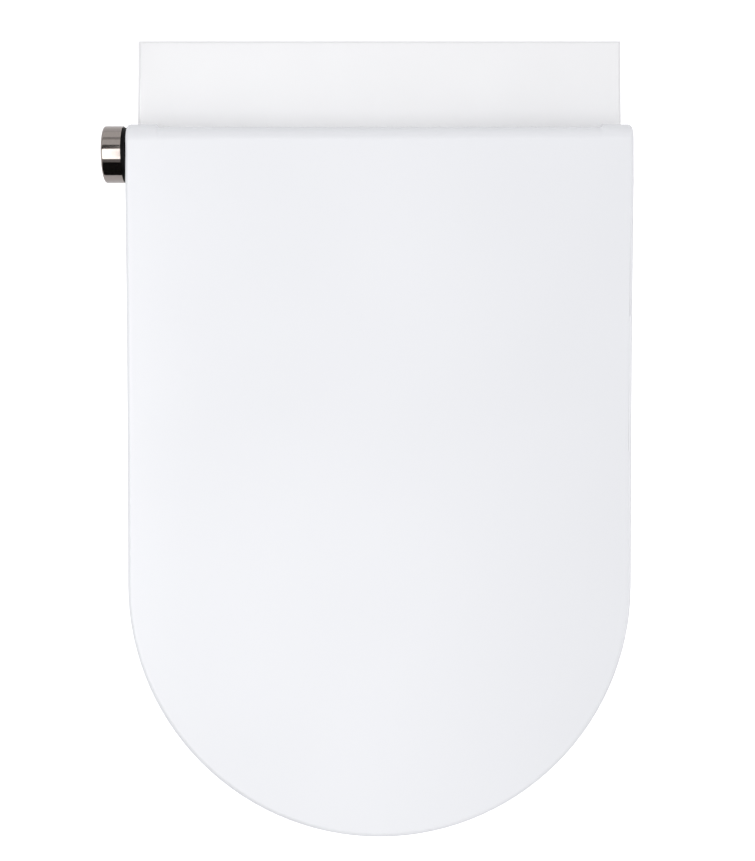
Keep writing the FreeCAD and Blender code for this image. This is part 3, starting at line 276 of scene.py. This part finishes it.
bare = sorted(set(nodes) - {name for names in finishes.values() for name in names})
print("stage: materials on", len(nodes) - len(bare), "CAD pieces, none left bare:", not bare)


def closeRings(shape, rings, steps):  # faces between neighbouring rings, where a ring of one point is a tip
    for low, high in zip(rings, rings[1:]):
        for step in range(steps):
            after = (step + 1) % steps
            corners = [low[step % len(low)], low[after % len(low)], high[after % len(high)], high[step % len(high)]]
            shape.faces.new(list(dict.fromkeys(corners)))


# round pieces: a profile of (radius, height) in millimetres, spun about an axis through a place
def spun(shape, profile, place, axis, steps):
    tilt = Vector((0, 0, 1)).rotation_difference(Vector(axis)).to_matrix().to_4x4()
    turn = Matrix.Translation(metres(*place)) @ tilt
    angles = [math.tau * step / steps for step in range(steps)]
    rings = []
    for radius, height in profile:
        around = angles if radius else [0.0]
        points = [turn @ metres(radius * math.cos(a), radius * math.sin(a), height) for a in around]
        rings.append([shape.verts.new(point) for point in points])
    closeRings(shape, rings, steps)


def madePiece(name, shape, material, sharp=35):  # the finished mesh, smooth but for edges sharper than this
    bmesh.ops.recalc_face_normals(shape, faces=shape.faces)
    for face in shape.faces:
        face.smooth = True
    mesh = bpy.data.meshes.new(name)
    shape.to_mesh(mesh)
    shape.free()
    mesh.set_sharp_from_angle(angle=math.radians(sharp))
    mesh.materials.append(materials[material])
    piece = bpy.data.objects.new(name, mesh)
    bpy.context.scene.collection.objects.link(piece)
    return piece


# the knob's end is turned: a raised rim, a narrow groove and a face dished by a third of a millimetre
capValues = {
    "place": (-203.8, -92.0, 104.3), "radius": 18.1, "thick": 2.5, "edge": 0.5, "edgeRound": 0.3,
    "rim": 2.4, "groove": 0.7, "grooveDepth": 0.5, "faceSet": 0.1, "dish": 0.35,
    "dishShares": (0.98, 0.8, 0.6, 0.4, 0.2, 0.0), "steps": 128,
}


def buildKnobCap():
    v = capValues
    outer, thick, edge = v["radius"], v["thick"], v["edge"]
    rim = outer - v["rim"]
    inner = rim - v["groove"]
    eased = v["edgeRound"] * edge
    face, floor = thick - v["faceSet"], thick - v["grooveDepth"]
    profile = [(0, 0), (outer, 0), (outer, thick - edge), (outer - eased, thick - eased), (outer - edge, thick)]
    profile += [(rim, thick), (rim, floor), (inner, floor), (inner, face)]
    profile += [(inner * share, face - v["dish"] * (1 - share ** 2)) for share in v["dishShares"]]
    shape = bmesh.new()
    spun(shape, profile, v["place"], (-1, 0, 0), v["steps"])
    cap = madePiece("knobCap", shape, "turnedBlackNickel")
    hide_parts("knob_end_cap")
    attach(cap, "knob")


buildKnobCap()

# self-tapping screws: pan head with a cross recess over a helical thread
screwValues = {
    "sides": (-130.0, 130.0), "back": -146.5, "top": 101.0,
    "head": 4.0, "headThick": 1.6, "rimShare": 0.5, "domeTurns": (0, 18, 36, 54, 72),
    "shank": 2.0, "core": 1.45, "plain": 14.0, "steps": 48,
}
threadValues = {"tip": 70.3, "pointLength": 3.0, "pointShare": 0.25, "pitch": 1.8, "perTurn": 8, "narrow": 4}
crossValues = {"length": 2.2, "width": 0.55, "taper": 0.4, "depth": 1.05, "floor": 0.55, "mouth": 1.1, "over": 0.2}


def threadedRings(shape, x):  # the radius follows the height's share of a turn, so the ridge climbs as a helix
    v, t = screwValues, threadValues
    low, high, steps = t["tip"], v["top"] - v["headThick"] - v["plain"], v["steps"]
    rings = [[shape.verts.new(metres(x, v["back"], low))]]
    count = int((high - low) / t["pitch"] * t["perTurn"])
    for level in range(count + 1):
        height = low + (high - low) * (level + 0.5) / (count + 1)
        taper = min(1.0, (height - low) / t["pointLength"] + t["pointShare"])
        ring = []
        for step in range(steps):
            angle = math.tau * step / steps
            phase = (height / t["pitch"] - step / steps) % 1.0
            ridge = max(0.0, 1 - abs(phase - 0.5) * t["narrow"])
            radius = taper * (v["core"] + (v["shank"] - v["core"]) * ridge)
            around = (x + radius * math.cos(angle), v["back"] + radius * math.sin(angle), height)
            ring.append(shape.verts.new(metres(*around)))
        rings.append(ring)
    closeRings(shape, rings + [[shape.verts.new(metres(x, v["back"], high))]], steps)


def crossCutter():  # a cross of twelve corners that tapers to its floor
    v, c = screwValues, crossValues
    shape = bmesh.new()
    for x in v["sides"]:
        rings = []
        for share, height in ((c["floor"], v["top"] - c["depth"]), (c["mouth"], v["top"] + c["over"])):
            far, near = c["length"] * share, c["width"] * (1 - c["taper"] + c["taper"] * share)
            corners = [(near, far), (near, near), (far, near), (far, -near), (near, -near), (near, -far)]
            corners += [(-across, -along) for across, along in corners]
            rings.append([shape.verts.new(metres(x + across, v["back"] + along, height)) for across, along in corners])
        closeRings(shape, rings, len(rings[0]))
        for ring in rings:
            shape.faces.new(ring)
    return madePiece("crossCutter", shape, "drawnStainlessSteel")


def buildCoverScrews():
    v = screwValues
    shape = bmesh.new()
    head, thick, core = v["head"], v["headThick"], v["core"]
    under = v["top"] - thick
    rim, rise = under + v["rimShare"] * thick, v["rimShare"] * thick
    profile = [(0, under - v["plain"]), (core, under - v["plain"]), (core, under), (head, under)]
    for turn in v["domeTurns"]:
        angle = math.radians(turn)
        profile.append((head * math.cos(angle), rim + rise * math.sin(angle)))
    profile.append((0, v["top"]))
    for x in v["sides"]:
        spun(shape, profile, (x, v["back"], 0), (0, 0, 1), v["steps"])
        threadedRings(shape, x)
    screws = madePiece("coverScrews", shape, "drawnStainlessSteel")
    cutter = crossCutter()
    recess = screws.modifiers.new("crossRecess", "BOOLEAN")
    recess.operation, recess.solver, recess.object = "DIFFERENCE", "EXACT", cutter
    carved = bpy.data.meshes.new_from_object(screws.evaluated_get(bpy.context.evaluated_depsgraph_get()))
    screws.modifiers.clear()
    screws.data = carved
    bpy.data.objects.remove(cutter)
    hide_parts("cover_screws")
    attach(screws, "toilet")


buildCoverScrews()

# bumpers: a flange against what carries them, a waist, and a crowned foot with a shallow cup that grips
bumperValues = {
    "lidBumpers": {"node": "lid_pads", "body": "lid", "radius": 7.0, "high": 107.7, "low": 104.1},
    "seatBumpers": {"node": "seat_pads", "body": "seat", "radius": 9.0, "high": 84.0, "low": 80.3},
}
bumperForm = {
    "places": [(-158, -240), (158, -240), (-124, -455), (124, -455)],
    "flange": 0.9, "fillet": 0.2, "waist": 0.6, "crown": 1.3, "crownTurns": (0, 22.5, 45, 67.5, 90),
    "cup": 0.35, "cupShares": ((0.6, 0), (0.52, 0.7), (0.4, 1), (0, 1)), "steps": 64,
}


def buildBumpers():
    f = bumperForm
    flange, fillet, crown = f["flange"], f["fillet"], f["crown"]
    for name, v in bumperValues.items():
        radius, thick = v["radius"], v["high"] - v["low"]
        foot = radius - f["waist"]
        profile = [(0, 0), (radius - fillet, 0), (radius, fillet), (radius, flange - fillet)]
        profile += [(radius - fillet, flange), (foot, flange + fillet)]
        for turn in f["crownTurns"]:
            angle = math.radians(turn)
            profile.append((foot - crown * (1 - math.cos(angle)), thick - crown * (1 - math.sin(angle))))
        profile += [(foot * share, thick - depth * f["cup"]) for share, depth in f["cupShares"]]
        shape = bmesh.new()
        for x, y in f["places"]:
            spun(shape, profile, (x, y, v["high"]), (0, 0, -1), f["steps"])
        bumpers = madePiece(name, shape, "mouldedGreyTpe")
        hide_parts(v["node"])
        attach(bumpers, v["body"])


buildBumpers()

# the knob's return spring, built at rest: closed end turns and open ones between; the real one is squashed when the
# knob is pressed
springValues = {
    "from": -106.0, "to": -94.0, "line": (-92.0, 104.3), "radius": 4.2, "wire": 0.6,
    "openTurns": 5, "closedTurns": 1, "perTurn": 40, "sides": 12, "stroke": 2.0,
}


def buildSpring():
    v = springValues
    wire, closedTurns, sides = v["wire"], v["closedTurns"], v["sides"]
    turns = v["openTurns"] + 2 * closedTurns
    whole = v["to"] - v["from"]
    closed = 2 * wire * closedTurns
    pitch = (whole - 2 * wire - 2 * closed) / v["openTurns"]
    shape = bmesh.new()
    rings = []
    for step in range(turns * v["perTurn"] + 1):
        turn = step / v["perTurn"]
        atStart, atEnd = min(turn, closedTurns), max(0.0, turn - turns + closedTurns)
        between = max(0.0, min(turn, turns - closedTurns) - closedTurns)
        along = atStart * 2 * wire + between * pitch + atEnd * 2 * wire
        outward = Vector((0, math.cos(math.tau * turn), math.sin(math.tau * turn)))
        centre = Vector((v["from"] + wire + along, *v["line"])) + v["radius"] * outward
        ring = []
        for side in range(sides):
            angle = math.tau * side / sides
            ring.append(shape.verts.new(
                (centre + wire * (outward * math.cos(angle) + Vector((math.sin(angle), 0, 0)))) / metre))
        rings.append(ring)
    closeRings(shape, rings, sides)
    shape.faces.new(rings[0])
    shape.faces.new(rings[-1])
    spring = madePiece("returnSpring", shape, "drawnStainlessSteel")
    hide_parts("knob_spring")
    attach(spring, "toilet")
    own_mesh(spring)


buildSpring()

# a thin channel that lines the ceramic's notch round the tray's nose, so splashes stay in the bowl
linerValues = {
    "half": 36.6, "floor": -13.7, "top": 79.0, "back": -157.2, "thick": 1.4, "corner": 4.0,
    "sideSteps": 10, "cornerSteps": 6, "floorPlaces": (16.0, 0.0, -16.0), "inside": 20,
    "edge": 0.4, "edgeSteps": 2, "edgeAngle": 60,
}
# its front, as (height, y), stays just short of the bowl's glaze
linerFront = [
    (-14.0, -199.5), (3.6, -188.8), (13.5, -183.2), (23.8, -178.8),
    (33.3, -175.2), (42.5, -172.8), (60.0, -170.6), (80.0, -170.0),
]
# the lip at that front turns in: share of its width, how far behind the front, share of its width upwards
lipWidth = 0.8
lipForm = [(0, 2.0, 0), (0.3, 0.8, 0.2), (1, 0, 0.5)]


def frontAt(height):
    for (low, near), (high, far) in zip(linerFront, linerFront[1:]):
        if height <= high:
            return near + (far - near) * (height - low) / (high - low)
    return linerFront[-1][1]


def linerSection():  # the channel seen from the front, from the top of one side round to the other
    v = linerValues
    side, floor, corner = v["half"], v["floor"], v["corner"]
    fall = v["top"] - floor - corner
    right = [(side, v["top"] - step * fall / v["sideSteps"]) for step in range(v["sideSteps"] + 1)]
    for step in range(1, v["cornerSteps"] + 1):
        angle = math.pi / 2 * step / v["cornerSteps"]
        right.append((side - corner + corner * math.cos(angle), floor + corner - corner * math.sin(angle)))
    return right + [(x, floor) for x in v["floorPlaces"]] + [(-x, height) for x, height in reversed(right)]


def buildNoseLiner():
    v = linerValues
    shape = bmesh.new()
    columns = []
    for x, height in linerSection():
        front, inset = frontAt(height), lipWidth * min(1.0, abs(x) / v["half"])
        toward = -1 if x > 0 else 1
        places = [(x, v["back"], height)]
        for share, behind, rise in lipForm:
            places.append((x + toward * share * inset, front + behind, height + rise * lipWidth))
        columns.append([shape.verts.new(metres(*place)) for place in places])
    for low, high in zip(columns, columns[1:]):
        for step in range(len(lipForm)):
            shape.faces.new([low[step], low[step + 1], high[step + 1], high[step]])
    liner = madePiece("noseLiner", shape, "mouldedAbs")
    face = liner.data.polygons[0]
    facesOut = face.normal.dot(face.center - metres(0, v["back"], v["floor"] + v["inside"])) > 0
    wall = liner.modifiers.new("wall", "SOLIDIFY")
    wall.thickness, wall.offset = v["thick"] / metre, -1.0 if facesOut else 1.0  # grows inwards either way
    edge = liner.modifiers.new("edge", "BEVEL")
    edge.width, edge.segments, edge.angle_limit = v["edge"] / metre, v["edgeSteps"], math.radians(v["edgeAngle"])
    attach(liner, "toilet")


buildNoseLiner()
print("stage: knob cap, screws, bumpers, spring and nose liner made")


def flatSheet(name, width, depth, height=0):  # a level rectangle for the floor and for the cards
    x, y = width / 2, depth / 2
    mesh = bpy.data.meshes.new(name)
    mesh.from_pydata([(-x, -y, height), (x, -y, height), (x, y, height), (-x, y, height)], [], [(0, 1, 2, 3)])
    sheet = bpy.data.objects.new(name, mesh)
    bpy.context.scene.collection.objects.link(sheet)
    return sheet


# floor: white to the camera and a little lit in reflections, plain paint as light
floorValues = {"height": -0.32, "width": 12.0, "colour": "#F4F4F5", "glow": 0.6, "mirrored": 0.25}


def buildFloor():
    v = floorValues
    floor = flatSheet("studioFloor", v["width"], v["width"], v["height"])
    material, tree = newMaterial("paleFloorPaint")
    path = addNode(tree, "ShaderNodeLightPath")
    glossy, through, camera = [path.outputs[name] for name in ("Is Glossy Ray", "Is Transmission Ray", "Is Camera Ray")]
    mirrored = addNode(tree, "ShaderNodeMath", {"operation": "MAXIMUM"}, i0=glossy, i1=through)
    mirrored = addNode(tree, "ShaderNodeMath", {"operation": "MULTIPLY"}, i0=mirrored.outputs[0], i1=v["mirrored"])
    glow = addNode(
        tree, "ShaderNodeMath", {"operation": "MULTIPLY_ADD"}, i0=camera, i1=v["glow"], i2=mirrored.outputs[0])
    paint = addNode(tree, "ShaderNodeBsdfDiffuse", Color=linearColour(v["colour"]))
    light = addNode(tree, "ShaderNodeEmission", Color=plainWhite, Strength=glow.outputs[0])
    both = addNode(tree, "ShaderNodeAddShader", i0=paint.outputs[0], i1=light.outputs[0])
    floor.data.materials.append(finishWith(material, tree, both))


buildFloor()

# world: plain white wherever it is seen or mirrored, and a dimmer, nearly white fill as light
worldValues = {"tint": "#FDFDFF", "strength": 0.6}


def buildWorld():
    v = worldValues
    world = bpy.data.worlds.new("studioWorld")
    bpy.context.scene.world = world
    world.use_nodes = True
    tree = world.node_tree
    tree.nodes.clear()
    path = addNode(tree, "ShaderNodeLightPath")
    glossy, through, camera = [path.outputs[name] for name in ("Is Glossy Ray", "Is Transmission Ray", "Is Camera Ray")]
    seen = addNode(tree, "ShaderNodeMath", {"operation": "MAXIMUM"}, i0=camera, i1=glossy)
    seen = addNode(tree, "ShaderNodeMath", {"operation": "MAXIMUM"}, i0=seen.outputs[0], i1=through)
    light = addNode(tree, "ShaderNodeBackground", Color=linearColour(v["tint"]), Strength=v["strength"])
    white = addNode(tree, "ShaderNodeBackground", Color=plainWhite, Strength=1.0)
    both = addNode(tree, "ShaderNodeMixShader", i0=seen.outputs[0], i1=light.outputs[0], i2=white.outputs[0])
    addNode(tree, "ShaderNodeOutputWorld", Surface=both.outputs[0])


buildWorld()

# soft boxes: place, what they are aimed at, width and height in metres, watts
lampValues = {
    "topBox": {"place": (-0.1, -0.3, 2.6), "aim": (-0.1, -0.3, 0), "size": (2.2, 2.2), "watts": 25.5},
    "leftBox": {"place": (-2.2, -0.3, 0.75), "aim": (0, -0.3, 0), "size": (1.2, 1.6), "watts": 2},
}


def aimedAt(place, aim):
    return (Vector(aim) - Vector(place)).to_track_quat("-Z", "Y").to_euler()


def buildLamps():
    for name, v in lampValues.items():
        light = bpy.data.lights.new(name, "AREA")
        light.shape = "RECTANGLE"
        light.size, light.size_y = v["size"]
        light.energy = v["watts"]
        lamp = bpy.data.objects.new(name, light)
        lamp.location = v["place"]
        lamp.rotation_euler = aimedAt(v["place"], v["aim"])
        lamp.visible_camera = False
        lamp.visible_glossy = False
        bpy.context.scene.collection.objects.link(lamp)


buildLamps()

# a card glows more than the white world around it, and painted shade where it glows less
# cards that only reflections see, on an arc about the knob: painted reflections, a painted highlight where
# angles in degrees from straight up towards the wall, across in metres from the middle,
# and the glow at the two ends of the fade
arcValues = {"centre": (0, -0.0875, 0.1043), "radius": 2.15}
cardValues = {
    "overheadCard": {"angles": (-28, 14), "across": (-1.8, -0.54), "glow": (4.5, 4.5), "fade": (-1.8, -0.54)},
    "lidCardLeft": {"angles": (-6, 13), "across": (-0.52, 0.0), "glow": (0.6, 1.8), "fade": (-0.46, -0.16)},
    "lidCardRight": {"angles": (-6, 13), "across": (0.0, 1.1), "glow": (1.8, 0.4), "fade": (0.0, 0.4)},
    "lidFrontLeft": {"angles": (-32, -6), "across": (-0.52, 0.0), "glow": (1.3, 2.3), "fade": (-0.5, -0.3)},
    "lidFrontRight": {"angles": (-32, -6), "across": (0.0, 1.1), "glow": (2.2, 0.4), "fade": (0.0, 0.42)},
    "deckCard": {"angles": (13, 26), "across": (-0.52, 1.1), "glow": (2.8, 1.6), "fade": (-0.3, 0.5)},
    # near black: painted shade, the dark of the gap behind the lid as reflections see it
    "rearGapShadeCard": {"angles": (15, 30), "across": (-2.5, -0.52), "glow": (0.03, 0.03), "fade": (-2.5, -0.52)},
    "rearCard": {"angles": (53, 65), "across": (-2.5, -0.5), "glow": (0.55, 0.55), "fade": (-2.5, -0.5)},
    # near black: painted shade in the reflections towards the front
    "frontShadeCard": {"angles": (-124, -40), "across": (-3.0, -0.42), "glow": (0.01, 0.01), "fade": (-3.0, -0.42)},
    "frontEdgeCard": {"angles": (-40, -27), "across": (-3.0, -0.42), "glow": (0.3, 0.3), "fade": (-3.0, -0.42)},
}

# two more stand beside the object and give its upright sides a soft highlight
sideCardValues = {
    "leftCard": {"place": (-1.9, -0.35, 0.42), "aim": (0, -0.3, 0), "size": (1.0, 0.8), "glow": (1.8, 1.8)},
    "rightCard": {"place": (1.8, -0.45, 0.5), "aim": (0, -0.3, 0), "size": (1.2, 0.9), "glow": (3.0, 3.0)},
}


def cardAt(name, size, place, rotation, glow, fade):  # lights nothing and casts no shadow
    card = flatSheet(name, *size)
    card.location = place
    card.rotation_euler = rotation
    card.visible_camera = False
    card.visible_diffuse = False
    card.visible_shadow = False
    material, tree = newMaterial(name + "Silk")
    own = addNode(tree, "ShaderNodeTexCoord").outputs["Object"]
    across = addNode(tree, "ShaderNodeSeparateXYZ", Vector=own).outputs["X"]
    strength = addNode(
        tree, "ShaderNodeMapRange",
        Value=across, From_Min=fade[0], From_Max=fade[1], To_Min=glow[0], To_Max=glow[1])
    light = addNode(tree, "ShaderNodeEmission", Color=plainWhite, Strength=strength.outputs[0])
    card.data.materials.append(finishWith(material, tree, light))


def buildCards():
    centre, radius = Vector(arcValues["centre"]), arcValues["radius"]
    for name, v in cardValues.items():
        low, high = [math.radians(angle) for angle in v["angles"]]
        middle, depth = (low + high) / 2, 2 * radius * math.tan((high - low) / 2)
        left, right = v["across"]
        shift = (left + right) / 2
        place = centre + Vector((shift, radius * math.sin(middle), radius * math.cos(middle)))
        fade = [edge - shift for edge in v["fade"]]
        cardAt(name, (right - left, depth), place, (-middle, 0, 0), v["glow"], fade)
    for name, v in sideCardValues.items():
        cardAt(name, v["size"], v["place"], aimedAt(v["place"], v["aim"]), v["glow"], (-1, 1))


buildCards()

# straight above the object, as the photograph was taken; the lens fits its frame
cameraValues = {"place": (-0.00145, -0.2994, 1.2707), "lens": 64.85, "sensor": 36.0, "clip": (0.01, 50)}


def buildCamera():
    v = cameraValues
    data = bpy.data.cameras.new("photoCamera")
    data.lens = v["lens"]
    data.sensor_width = v["sensor"]
    data.clip_start, data.clip_end = v["clip"]
    camera = bpy.data.objects.new("photoCamera", data)
    camera.location = v["place"]
    camera.rotation_euler = (0, 0, 0)
    bpy.context.scene.collection.objects.link(camera)
    bpy.context.scene.camera = camera


buildCamera()
bpy.context.scene.view_settings.view_transform = "Standard"
print("stage: floor, world, lamps, cards and camera")
